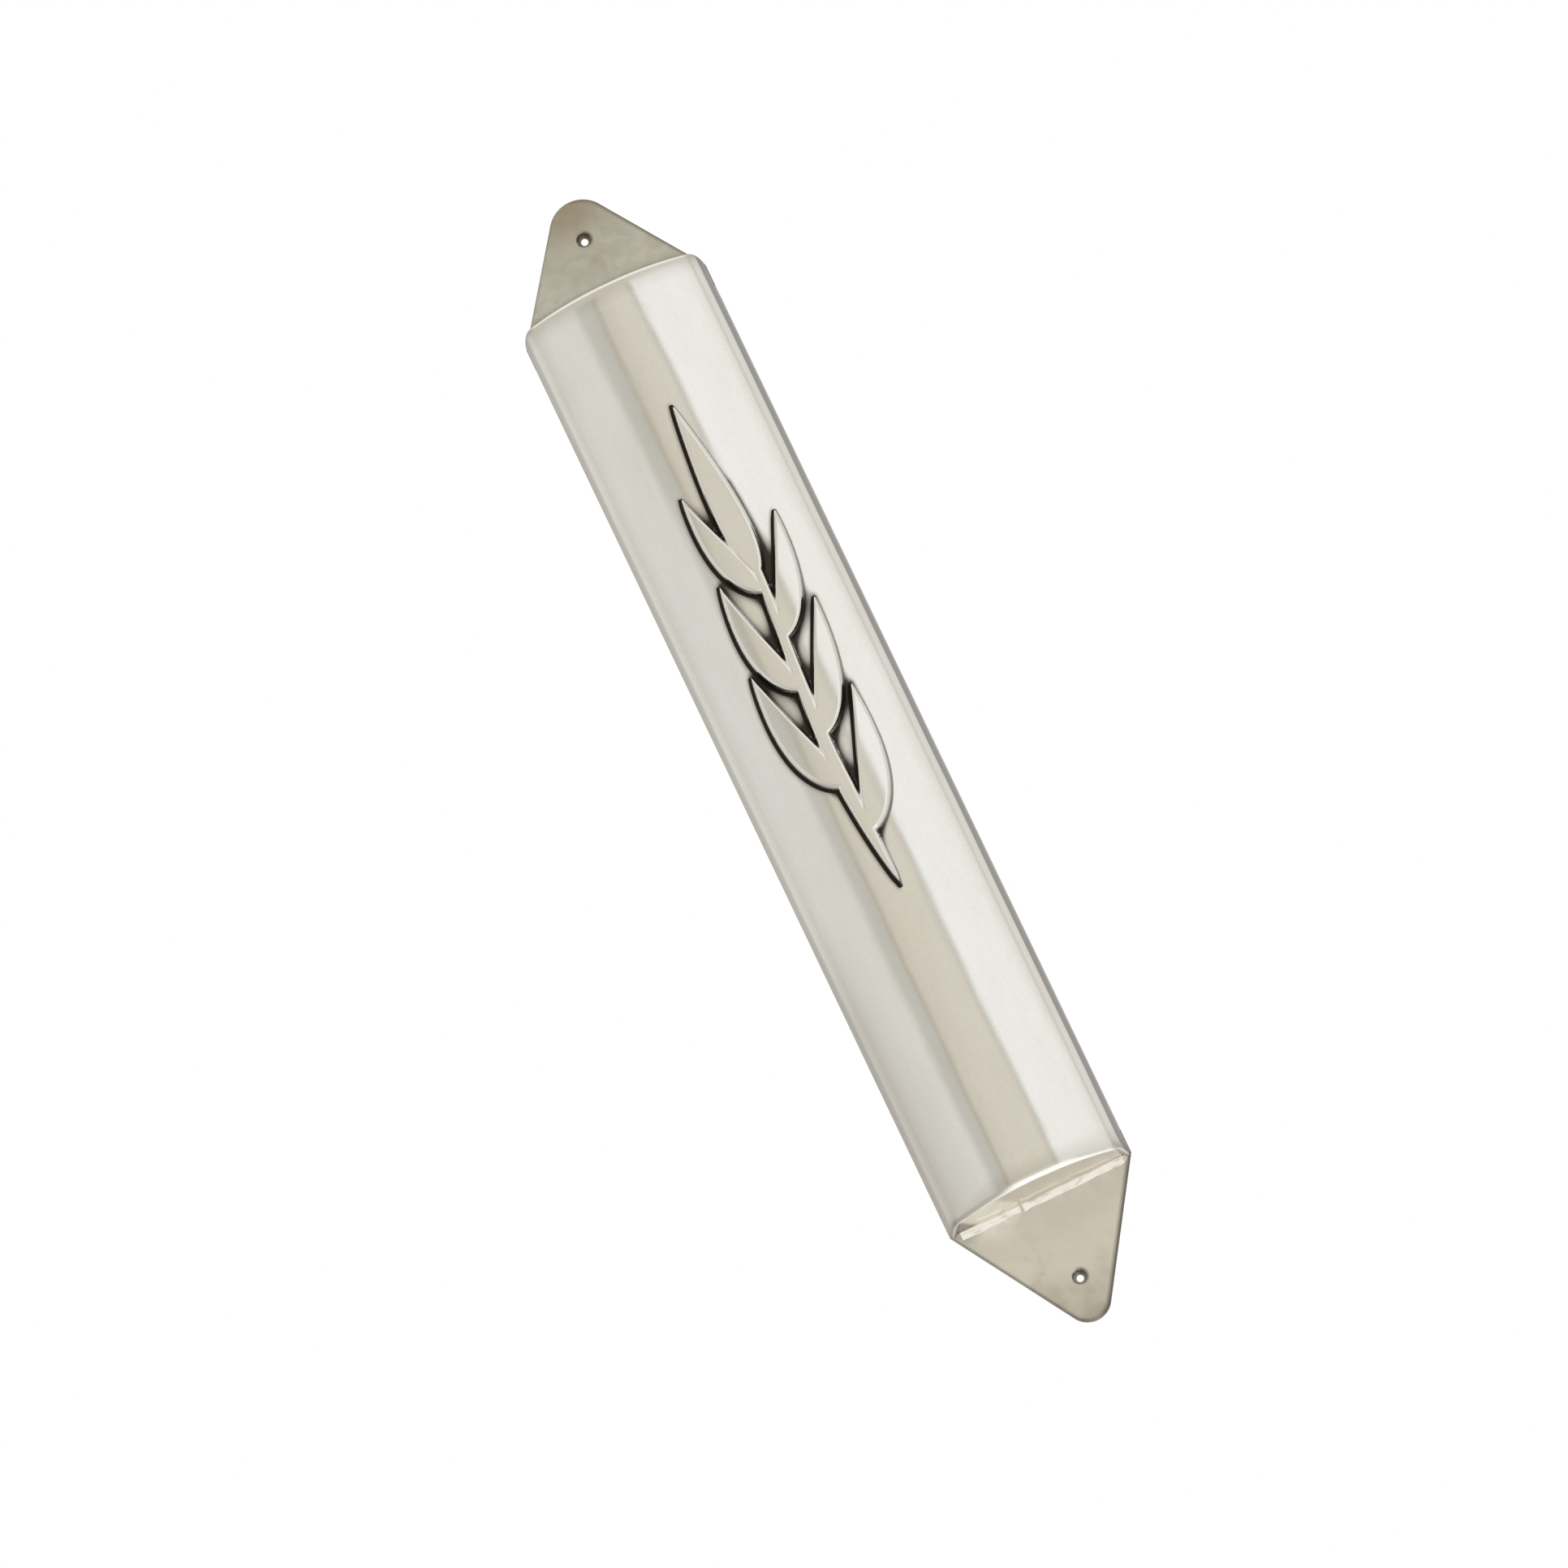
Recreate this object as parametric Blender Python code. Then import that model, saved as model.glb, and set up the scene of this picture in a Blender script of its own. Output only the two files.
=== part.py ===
# Mezuzah case of silver sheet: a crowned cover closed by two end walls, soldered to a frame of
# two nailing tabs and two back rails, with a door that slides up out of the back.
# Metres. X is the width, Z runs up along the case, the front faces -Y and the wall is at Y = 0.

import math

import bmesh
import bpy
from mathutils import Matrix, Vector

MM = 0.001
GAP = 0.3 * MM                  # between pieces that touch

# Driving dimensions
BODY_LENGTH = 124.6 * MM        # the cover, end to end
BACK_HALF_WIDTH = 12.0 * MM     # outside, at the wall
SHOULDER_HALF_WIDTH = 11.1 * MM # outside, where the side walls stop
SHOULDER_DEPTH = 7.0 * MM
CREST_DEPTH = 10.0 * MM         # how far the crown stands off the wall
CROWN_HALF_WIDTH = 10.25 * MM   # where the crown's arc meets the bends
BEND_START = 5.8 * MM           # off the wall, where the side walls begin to bend
SHEET = 0.9 * MM                # cover, end walls
BACK_SHEET = 1.2 * MM           # tabs and rails
DOOR_SHEET = 0.8 * MM

UPPER_TAB_REACH = 14.1 * MM     # past the cover's end
UPPER_TIP_RADIUS = 3.9 * MM
UPPER_HOLE_FROM_TIP = 5.2 * MM
LOWER_TAB_REACH = 16.5 * MM
LOWER_TIP_RADIUS = 2.8 * MM
LOWER_HOLE_FROM_TIP = 5.6 * MM
NAIL_HOLE_RADIUS = 0.78 * MM
TAPER_START = 0.5 * MM          # inside the cover's end
TAB_OVERLAP = 3.4 * MM          # how far a tab runs in under the cover

RAIL_WIDTH = 3.5 * MM
GUIDE_WIDTH = 2.0 * MM
GUIDE_SHEET = 0.8 * MM
DOOR_HALF_WIDTH = 10.4 * MM
DOOR_PROUD = 1.1 * MM           # of the cover's upper end
LIP_HALF_WIDTH = 6.0 * MM
LIP_HEIGHT = 0.9 * MM
LIP_STANDOFF = 1.3 * MM         # how far the lip stands off the door
LIP_ROUNDING = 0.25 * MM
SOLDER_LEG = 0.8 * MM

EMBLEM_LENGTH = 66.8 * MM       # a sprig of leaves
EMBLEM_TOP = 44.5 * MM
EMBLEM_SHEET = 1.1 * MM
EMBLEM_DRESS_RADIUS = 24.0 * MM # flatter than the crown, so the edges stand clear
EMBLEM_BLANK_HALF_WIDTH = 9.0 * MM
EMBLEM_FACETS = 18              # across the blank
STEM_X = 1.0 * MM
STEM_SWAY = 0.9 * MM
STEM_HALF_WIDTH = 1.25 * MM
STEM_POINT = 14.0 * MM          # how far the stem's foot tapers
LEAF_PAIRS = 3
LEAF_FIRST = 7.3 * MM           # from the emblem's foot to the lowest leaf
LEAF_PITCH = 13.2 * MM
LEAF_LIFT = 6.5 * MM            # the left leaves sit this much higher
LEAF_LENGTH = 18.5 * MM
LEAF_REACH = 5.6 * MM
LEAF_HALF_WIDTH = 1.95 * MM
LEAF_SHRINK = 0.93              # each pair, going up
TOP_LEAF_LENGTH = 24.5 * MM

SCROLL_LENGTH = 100.0 * MM
SCROLL_RADIUS = 2.95 * MM
SCROLL_CORE_RADIUS = 0.95 * MM
PARCHMENT = 0.26 * MM
SCROLL_TURNS = 5
SCROLL_CLEARANCE = 0.4 * MM     # between the roll and the door

BODY_TOP = BODY_LENGTH / 2
CROWN_SAG = CREST_DEPTH - SHOULDER_DEPTH
CROWN_RADIUS = (CROWN_HALF_WIDTH**2 + CROWN_SAG**2) / (2 * CROWN_SAG)
CROWN_CENTRE_Y = CROWN_RADIUS - CREST_DEPTH
DOOR_BACK_Y = -BACK_SHEET - GAP
DOOR_FRONT_Y = DOOR_BACK_Y - DOOR_SHEET
GUIDE_BACK_Y = DOOR_FRONT_Y - GAP


def clearScene():
    for obj in list(bpy.data.objects):
        bpy.data.objects.remove(obj, do_unlink=True)


def makeMaterial(name, colour, roughness, metallic):
    material = bpy.data.materials.new(name)
    material.use_nodes = True
    shader = material.node_tree.nodes["Principled BSDF"]
    shader.inputs["Base Color"].default_value = (*colour, 1.0)
    shader.inputs["Roughness"].default_value = roughness
    shader.inputs["Metallic"].default_value = metallic
    material.diffuse_color = (*colour, 1.0)
    return material


def addObject(name, work, material=None):
    """Turns a bmesh into a named object, its normals facing out."""
    bmesh.ops.recalc_face_normals(work, faces=work.faces)
    mesh = bpy.data.meshes.new(name)
    work.to_mesh(mesh)
    work.free()
    obj = bpy.data.objects.new(name, mesh)
    bpy.context.scene.collection.objects.link(obj)
    if material:
        mesh.materials.append(material)
    return obj


def prism(name, outline, start, depth, material=None):
    """An outline of 3-D points, flat, moved by start and pushed through along depth."""
    work = bmesh.new()
    face = work.faces.new([work.verts.new(Vector(point) + Vector(start)) for point in outline])
    pushed = bmesh.ops.extrude_face_region(work, geom=[face])
    moved = [item for item in pushed["geom"] if isinstance(item, bmesh.types.BMVert)]
    bmesh.ops.translate(work, verts=moved, vec=Vector(depth))
    return addObject(name, work, material)


def plate(name, outline, frontY, backY, material=None):
    """A flat sheet parallel to the wall: outline holds (x, z) pairs."""
    points = [(x, 0.0, z) for x, z in outline]
    return prism(name, points, (0, frontY, 0), (0, backY - frontY, 0), material)


def block(name, low, high, material=None):
    outline = [(low[0], low[2]), (high[0], low[2]), (high[0], high[2]), (low[0], high[2])]
    return plate(name, outline, low[1], high[1], material)


def cutter(obj):
    obj.hide_render = True
    obj.display_type = "WIRE"
    return obj


def boolean(obj, other, operation):
    modifier = obj.modifiers.new(operation.title(), "BOOLEAN")
    modifier.operation = operation
    modifier.object = other


def smooth(obj, degrees=35):
    obj.data.shade_smooth()
    obj.data.set_sharp_from_angle(angle=math.radians(degrees))


def crownY(x, inset=0.0):
    """Y of the crown's surface at x, moved inward by inset."""
    return CROWN_CENTRE_Y - math.sqrt((CROWN_RADIUS - inset) ** 2 - x * x)


def sideX(y, inset=0.0):
    """X of the right side wall at depth y, moved inward by inset: a straight lean."""
    lean = (BACK_HALF_WIDTH - SHOULDER_HALF_WIDTH) / SHOULDER_DEPTH
    return BACK_HALF_WIDTH + lean * y - inset


def halfSection(backY, inset=0.0, crownSteps=10, bendSteps=5):
    """The right half of the case's section, from the wall to the crest, moved inward by inset."""
    bendStart = Vector((sideX(-BEND_START, inset), -BEND_START))
    crownX = CROWN_HALF_WIDTH - inset
    bendEnd = Vector((crownX, crownY(crownX, inset)))
    corner = Vector((SHOULDER_HALF_WIDTH - inset, crownY(SHOULDER_HALF_WIDTH - inset, inset)))
    points = [(sideX(backY, inset), backY)]
    for step in range(bendSteps + 1):
        t = step / bendSteps
        bend = bendStart * (1 - t) ** 2 + corner * 2 * t * (1 - t) + bendEnd * t * t
        points.append(tuple(bend))
    for step in range(1, crownSteps + 1):
        x = crownX * (1 - step / crownSteps)
        points.append((x, crownY(x, inset)))
    return points


def wholeSection(backY, inset=0.0):
    """Both halves, from the right foot over the crest to the left foot."""
    right = halfSection(backY, inset)
    return right + [(-x, y) for x, y in reversed(right[:-1])]


def makeCover(material):
    footY = -BACK_SHEET - GAP
    outline = wholeSection(footY) + list(reversed(wholeSection(footY, SHEET)))
    points = [(x, y, 0.0) for x, y in outline]
    cover = prism("front_cover", points, (0, 0, -BODY_TOP), (0, 0, BODY_LENGTH), material)
    smooth(cover)


def makeEndWall(name, footY, outerZ, innerZ, material):
    """A plate that fills the cover's end, its edge one gap inside the sheet."""
    points = [(x, y, 0.0) for x, y in wholeSection(footY, SHEET + GAP)]
    wall = prism(name, points, (0, 0, outerZ), (0, 0, innerZ - outerZ), material)
    smooth(wall)


def tabOutline(side, reach, tipRadius, tipSteps=20):
    """A tab's outline: square under the cover, then straight edges that touch a round tip."""
    shoulder = Vector((BACK_HALF_WIDTH, BODY_TOP - TAPER_START))
    centre = Vector((0.0, BODY_TOP + reach - tipRadius))
    away = shoulder - centre
    # The radius to the touching point makes this angle with the line from centre to shoulder.
    turn = math.acos(tipRadius / away.length)
    start = math.atan2(away.y, away.x) + turn
    right = [Vector((BACK_HALF_WIDTH, BODY_TOP - TAB_OVERLAP)), shoulder]
    for step in range(tipSteps + 1):
        angle = start + (math.pi / 2 - start) * step / tipSteps
        right.append(centre + tipRadius * Vector((math.cos(angle), math.sin(angle))))
    whole = right + [Vector((-p.x, p.y)) for p in reversed(right[:-1])]
    return [(p.x, side * p.y) for p in whole]


def drill(obj, name, z, radius, sides=32):
    """A hole through a sheet that lies against the wall."""
    work = bmesh.new()
    turned = Matrix.Translation((0, -BACK_SHEET / 2, z)) @ Matrix.Rotation(math.pi / 2, 4, "X")
    bmesh.ops.create_cone(
        work, cap_ends=True, segments=sides, radius1=radius, radius2=radius,
        depth=4 * BACK_SHEET, matrix=turned,
    )
    boolean(obj, cutter(addObject(name, work)), "DIFFERENCE")


def makeTab(name, side, reach, tipRadius, holeFromTip, material):
    tab = plate(name, tabOutline(side, reach, tipRadius), -BACK_SHEET, 0.0, material)
    drill(tab, name + "_drill", side * (BODY_TOP + reach - holeFromTip), NAIL_HOLE_RADIUS)


def makeSideStrips(side, sideName, material):
    """The back rail behind a side wall, and the guide in front of the door."""
    railTop = BODY_TOP - TAB_OVERLAP - GAP
    xs = sorted((side * (BACK_HALF_WIDTH - RAIL_WIDTH), side * BACK_HALF_WIDTH))
    block(sideName + "_back_rail", (xs[0], -BACK_SHEET, -railTop), (xs[1], 0, railTop), material)

    guideTop = BODY_TOP - SHEET - GAP
    guideFrontY = GUIDE_BACK_Y - GUIDE_SHEET
    outer = sideX(guideFrontY, SHEET + GAP)
    xs = sorted((side * (outer - GUIDE_WIDTH), side * outer))
    low = (xs[0], guideFrontY, -guideTop)
    block(sideName + "_door_guide", low, (xs[1], GUIDE_BACK_Y, guideTop), material)


def makeDoor(material):
    """The door and its lip. Both have their origin on the line along which the door slides."""
    lineY = (DOOR_FRONT_Y + DOOR_BACK_Y) / 2
    line = bpy.data.objects.new("door_slide_line", None)
    line.location = (0, lineY, 0)
    bpy.context.scene.collection.objects.link(line)
    bottom = -BODY_TOP + SHEET + GAP
    top = BODY_TOP + DOOR_PROUD
    halfSheet = DOOR_SHEET / 2
    door = block(
        "back_door", (-DOOR_HALF_WIDTH, -halfSheet, bottom), (DOOR_HALF_WIDTH, halfSheet, top), material,
    )
    lipBackY = -halfSheet - GAP
    lipBottom = BODY_TOP + GAP
    lip = block(
        "door_lip",
        (-LIP_HALF_WIDTH, lipBackY - LIP_STANDOFF, lipBottom),
        (LIP_HALF_WIDTH, lipBackY, lipBottom + LIP_HEIGHT),
        material,
    )
    rounding = lip.modifiers.new("Bevel", "BEVEL")
    rounding.width = LIP_ROUNDING
    rounding.segments = 3
    for obj in (door, lip):
        obj.parent = line


def stemX(z):
    """The stem's centre line: one gentle sway over the emblem's length."""
    return STEM_X + STEM_SWAY * math.sin(2 * math.pi * (EMBLEM_TOP - z) / EMBLEM_LENGTH)


def stemOutline(steps=30):
    """The stem swells from a pointed foot, then thins towards the top leaf."""
    foot = EMBLEM_TOP - EMBLEM_LENGTH
    length = EMBLEM_LENGTH - TOP_LEAF_LENGTH / 2
    right = []
    left = []
    for step in range(steps + 1):
        up = length * step / steps
        half = STEM_HALF_WIDTH * min(1, up / STEM_POINT) ** 0.6 * (1 - 0.6 * up / length)
        x = stemX(foot + up)
        right.append((x + half, foot + up))
        left.append((x - half, foot + up))
    return right + left[:0:-1]


def leafOutline(baseZ, length, reach, halfWidth, steps=20):
    """A leaf about a curve that leaves the stem, bows out by reach and turns up to its tip."""
    base = Vector((stemX(baseZ), baseZ))
    tip = Vector((stemX(baseZ + length) + reach, baseZ + length))
    bow = base + Vector((0.75 * reach, 0.28 * length))
    right = []
    left = []
    for step in range(steps + 1):
        t = step / steps
        point = base * (1 - t) ** 2 + bow * 2 * t * (1 - t) + tip * t * t
        along = (bow - base) * (1 - t) + (tip - bow) * t
        across = Vector((along.y, -along.x)).normalized()
        half = halfWidth * math.sin(math.pi * t**0.8) ** 0.8 if 0 < t < 1 else 0.0
        right.append(tuple(point + across * half))
        left.append(tuple(point - across * half))
    return right + left[-2:0:-1]


def leafOutlines():
    """Pairs of leaves, the left ones lifted, and one upright leaf at the top."""
    foot = EMBLEM_TOP - EMBLEM_LENGTH
    outlines = []
    for pair in range(LEAF_PAIRS):
        for side, lift, shrink in ((1, 0.0, pair), (-1, LEAF_LIFT, pair + 0.5)):
            scale = LEAF_SHRINK**shrink
            baseZ = foot + LEAF_FIRST + LEAF_PITCH * pair + lift
            reach = side * LEAF_REACH * scale
            outlines.append(leafOutline(baseZ, LEAF_LENGTH * scale, reach, LEAF_HALF_WIDTH * scale))
    topLeaf = leafOutline(EMBLEM_TOP - TOP_LEAF_LENGTH, TOP_LEAF_LENGTH, 0.0, LEAF_HALF_WIDTH)
    return outlines + [topLeaf]


def makeEmblem(material):
    """A sheet dressed to an arc over the crown and cut to the sprig's outline."""
    innerRadius = EMBLEM_DRESS_RADIUS
    outerRadius = innerRadius + EMBLEM_SHEET
    centreY = innerRadius - CREST_DEPTH - GAP
    reach = math.asin(EMBLEM_BLANK_HALF_WIDTH / innerRadius)
    angles = [reach * (2 * step / EMBLEM_FACETS - 1) for step in range(EMBLEM_FACETS + 1)]
    inner = [(innerRadius * math.sin(a), centreY - innerRadius * math.cos(a), 0) for a in angles]
    outer = [(outerRadius * math.sin(a), centreY - outerRadius * math.cos(a), 0) for a in angles]
    low = EMBLEM_TOP - EMBLEM_LENGTH - MM
    length = EMBLEM_LENGTH + 2 * MM
    emblem = prism("front_emblem", inner + outer[::-1], (0, 0, low), (0, 0, length), material)
    frontY = -CREST_DEPTH - 4 * EMBLEM_SHEET
    backY = -CREST_DEPTH + 4 * EMBLEM_SHEET
    sprig = cutter(plate("sprig_stem", stemOutline(), frontY, backY))
    for number, outline in enumerate(leafOutlines(), 1):
        leaf = plate(f"sprig_leaf_{number}", outline, frontY, backY)
        boolean(sprig, cutter(leaf), "UNION")
    boolean(emblem, sprig, "INTERSECT")
    smooth(emblem, 50)


def makeSolderSeam(material):
    """The fillet along the corner of the lower end wall and the lower tab."""
    cornerY = -BACK_SHEET - GAP
    cornerZ = -BODY_TOP - GAP
    front = (0, cornerY - SOLDER_LEG, cornerZ)
    foot = (0, cornerY, cornerZ - SOLDER_LEG)
    outline = [(0, cornerY, cornerZ), front, foot]
    half = sideX(cornerY, SHEET)
    prism("lower_solder_seam", outline, (-half, 0, 0), (2 * half, 0, 0), material)


def makeScroll(material):
    """A sheet rolled to a spiral, standing on the lower end wall."""
    stepsPerTurn = 26
    steps = SCROLL_TURNS * stepsPerTurn
    outerStart = SCROLL_CORE_RADIUS + PARCHMENT
    pitch = (SCROLL_RADIUS - outerStart) / SCROLL_TURNS
    centreY = DOOR_FRONT_Y - SCROLL_CLEARANCE - SCROLL_RADIUS
    outer = []
    inner = []
    for step in range(steps + 1):
        angle = 2 * math.pi * step / stepsPerTurn
        radius = outerStart + pitch * step / stepsPerTurn
        away = Vector((math.cos(angle), math.sin(angle), 0))
        outer.append(away * radius)
        inner.append(away * (radius - PARCHMENT))
    bottom = -BODY_TOP + SHEET + GAP
    prism(
        "parchment_scroll", outer + inner[::-1], (0, centreY, bottom), (0, 0, SCROLL_LENGTH), material,
    )


def main():
    clearScene()
    polished = makeMaterial("polished_silver", (0.80, 0.79, 0.77), 0.14, 1.0)
    matte = makeMaterial("matte_silver", (0.66, 0.64, 0.58), 0.42, 1.0)
    brushed = makeMaterial("door_silver", (0.70, 0.69, 0.66), 0.32, 1.0)
    solder = makeMaterial("solder", (0.86, 0.84, 0.78), 0.25, 1.0)
    raised = makeMaterial("emblem_silver", (0.80, 0.78, 0.74), 0.12, 1.0)
    parchment = makeMaterial("parchment", (0.83, 0.75, 0.58), 0.75, 0.0)

    makeCover(polished)
    makeEndWall("lower_end_wall", -BACK_SHEET - GAP, -BODY_TOP, -BODY_TOP + SHEET, polished)
    # The upper wall stops short of the tab, which leaves the door's slot.
    makeEndWall("upper_end_wall", GUIDE_BACK_Y, BODY_TOP, BODY_TOP - SHEET, polished)
    makeTab("upper_mounting_tab", 1, UPPER_TAB_REACH, UPPER_TIP_RADIUS, UPPER_HOLE_FROM_TIP, matte)
    makeTab("lower_mounting_tab", -1, LOWER_TAB_REACH, LOWER_TIP_RADIUS, LOWER_HOLE_FROM_TIP, matte)
    for side, sideName in ((-1, "left"), (1, "right")):
        makeSideStrips(side, sideName, matte)
    makeDoor(brushed)
    makeEmblem(raised)
    makeSolderSeam(solder)
    makeScroll(parchment)


main()
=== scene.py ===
# Mezuzah case: a polished silver cover on matte nailing tabs, with a raised sprig and a sliding back door.
import math

import bpy
import numpy as np
from mathutils import Matrix, Vector


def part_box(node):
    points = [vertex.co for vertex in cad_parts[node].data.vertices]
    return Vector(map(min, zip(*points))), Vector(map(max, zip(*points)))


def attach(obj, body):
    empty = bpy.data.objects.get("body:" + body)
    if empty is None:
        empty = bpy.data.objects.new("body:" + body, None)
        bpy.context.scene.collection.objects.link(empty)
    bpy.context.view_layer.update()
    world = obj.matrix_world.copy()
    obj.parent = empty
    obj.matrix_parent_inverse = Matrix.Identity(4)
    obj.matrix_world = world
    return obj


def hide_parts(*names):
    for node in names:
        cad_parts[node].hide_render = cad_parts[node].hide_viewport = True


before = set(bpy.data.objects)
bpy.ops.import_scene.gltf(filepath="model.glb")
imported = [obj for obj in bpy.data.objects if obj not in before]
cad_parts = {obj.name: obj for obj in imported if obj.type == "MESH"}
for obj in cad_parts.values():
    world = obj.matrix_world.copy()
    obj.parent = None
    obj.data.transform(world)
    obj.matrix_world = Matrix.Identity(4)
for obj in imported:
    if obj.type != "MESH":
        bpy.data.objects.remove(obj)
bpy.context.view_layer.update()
mm = 0.001
print("stage: frame loaded,", len(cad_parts), "nodes")


# Shader maths

# Wraps a shader socket, so that an expression on values adds its Math nodes.
class Socket:
    def __init__(self, graph, link):
        self.graph = graph
        self.link = link

    def math(self, operation, first, second):
        return self.graph.node("ShaderNodeMath", {"operation": operation}, {0: first, 1: second})

    def __add__(self, other):
        return self.math("ADD", self, other)

    def __sub__(self, other):
        return self.math("SUBTRACT", self, other)

    def __mul__(self, other):
        return self.math("MULTIPLY", self, other)

    def __truediv__(self, other):
        return self.math("DIVIDE", self, other)

    def __rsub__(self, other):
        return self.math("SUBTRACT", other, self)

    def __rtruediv__(self, other):
        return self.math("DIVIDE", other, self)

    __radd__ = __add__
    __rmul__ = __mul__


# One node tree. node() makes any node: its settings first, then its sockets' values or links.
class Graph:
    def __init__(self, tree):
        self.tree = tree
        tree.nodes.clear()

    def node(self, kind, settings=None, sockets=None, out=0):
        made = self.tree.nodes.new(kind)
        for name, value in (settings or {}).items():
            if name == "stops":
                self.setStops(made.color_ramp, value)
            else:
                setattr(made, name, value)
        for name, value in (sockets or {}).items():
            if isinstance(value, Socket):
                self.tree.links.new(value.link, made.inputs[name])
            else:
                made.inputs[name].default_value = value
        return Socket(self, made.outputs[out]) if made.outputs else made

    def setStops(self, band, stops):
        for _ in range(len(stops) - len(band.elements)):
            band.elements.new(0.5)
        for element, (place, colour) in zip(band.elements, stops):
            element.position = place
            element.color = (*colour, 1.0)

    # 0 below low, 1 above high, smooth between.
    def eased(self, value, low, high):
        sockets = {"Value": value, "From Min": low, "From Max": high}
        return self.node("ShaderNodeMapRange", {"interpolation_type": "SMOOTHSTEP"}, sockets)

    # Two colours mixed: a plain colour is three numbers.
    def mix(self, factor, first, second):
        colours = [c if isinstance(c, Socket) else (*c, 1.0) for c in (first, second)]
        sockets = {0: factor, 6: colours[0], 7: colours[1]}
        return self.node("ShaderNodeMix", {"data_type": "RGBA"}, sockets, out=2)

    # Noise with spots about grain metres wide, longer along an axis where stretch is under 1.
    def noise(self, grain, stretch=(1, 1, 1), detail=2.0, distortion=0.0, shift=0.0, slant=0.0):
        place = self.node("ShaderNodeTexCoord", out=3)
        if slant:
            spun = {"Vector": place, "Rotation": (0.0, math.radians(slant), 0.0)}
            place = self.node("ShaderNodeMapping", None, spun)
        turned = {"Vector": place, "Location": (shift, shift, shift), "Scale": stretch}
        mapped = self.node("ShaderNodeMapping", None, turned)
        sockets = {"Vector": mapped, "Scale": 1 / grain, "Detail": detail, "Distortion": distortion}
        return self.node("ShaderNodeTexNoise", None, sockets)

    def attribute(self, name):
        return self.node("ShaderNodeAttribute", {"attribute_name": name}, out=2)

    def bump(self, height, strength, distance):
        sockets = {"Height": height, "Strength": strength, "Distance": distance}
        return self.node("ShaderNodeBump", None, sockets)


# A Principled material: steady holds sockets that are the same all over, build makes the rest.
def newMaterial(name, steady, build):
    material = bpy.data.materials.new(name)
    material.use_nodes = True
    graph = Graph(material.node_tree)
    shader = graph.node("ShaderNodeBsdfPrincipled", None, {**steady, **build(graph)})
    graph.node("ShaderNodeOutputMaterial", None, {"Surface": shader})
    return material


# Finishes. Grain sizes are in metres.

polish = {
    "bright": (0.97, 0.96, 0.935),
    "warm": (0.88, 0.84, 0.76),
    "fog": (0.86, 0.85, 0.815),
    # Duller silver, partly painted shade and painted reflection
    "tarnish": (0.74, 0.715, 0.665),
    # The black of the painted shade
    "oxide": (0.045, 0.035, 0.028),
    "planishGrain": 4.5 * mm,
    "cloudGrain": 9 * mm,
    "smearGrain": 2.2 * mm,
    "satinGrain": 0.42 * mm,
    "fogShare": 0.55,
    "rough": 0.08,
    "hairlineRough": 0.09,
    "smearRough": 0.07,
    "shadeRough": 0.45,
    "relief": 0.045 * mm,
}


# Hand polish: fine lengthwise hairlines, a satin mottle and cloudy warmth. The attributes say where
# it is duller, partly as painted shade and painted reflection, and where it is black as painted shade.
def polishedBuild(scratchGrain, warmth):
    def build(graph):
        hairlines = graph.noise(scratchGrain, stretch=(1, 1, 0.012), detail=3.0)
        planish = graph.noise(polish["planishGrain"], stretch=(1, 1, 0.35), detail=2.0, shift=0.4)
        clouds = graph.noise(polish["cloudGrain"], stretch=(1, 1, 0.45), detail=3.0, distortion=0.6)
        smears = graph.noise(polish["smearGrain"], stretch=(1, 1, 0.3), detail=4.0, shift=0.2)
        satin = graph.noise(polish["satinGrain"], detail=4.0, shift=0.9)
        oxide = graph.attribute("oxide")
        colour = graph.mix(graph.eased(clouds, 0.45, 0.8) * warmth, polish["bright"], polish["warm"])
        fog = graph.eased(satin, 0.3, 0.75) * 0.5 + graph.eased(smears, 0.35, 0.7) * 0.3
        fog = fog + graph.eased(hairlines, 0.45, 0.75) * 0.2
        colour = graph.mix(fog * polish["fogShare"], colour, polish["fog"])
        # Duller silver where the attribute says, partly painted shade and painted reflection
        colour = graph.mix(graph.attribute("tarnish"), colour, polish["tarnish"])
        # Black painted shade where the attribute says
        colour = graph.mix(oxide, colour, polish["oxide"])
        rough = polish["rough"] + graph.eased(hairlines, 0.5, 0.8) * polish["hairlineRough"]
        rough = rough + graph.eased(smears, 0.45, 0.8) * polish["smearRough"]
        rough = rough + oxide * polish["shadeRough"]
        height = hairlines * 0.008 + smears * 0.05 + planish * 0.6
        return {
            "Base Color": colour,
            "Roughness": rough,
            "Normal": graph.bump(height, 1.0, polish["relief"]),
        }
    return build


matte = {
    "grain": 0.14 * mm,
    "mottleGrain": 1.5 * mm,
    "cloudGrain": 6.5 * mm,
    "rubGrain": 0.45 * mm,
    "rubSlant": 52.0,
    "spotGrain": 3.2 * mm,
    "wornDark": 0.86,
    "wornLight": 1.08,
    "stain": (0.50, 0.36, 0.24),
    # Colour of the painted shade and painted shadow on the tabs
    "dirt": (0.16, 0.13, 0.095),
    "rough": 0.36,
    "mottleRough": 0.16,
    "relief": 0.006 * mm,
}


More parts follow.
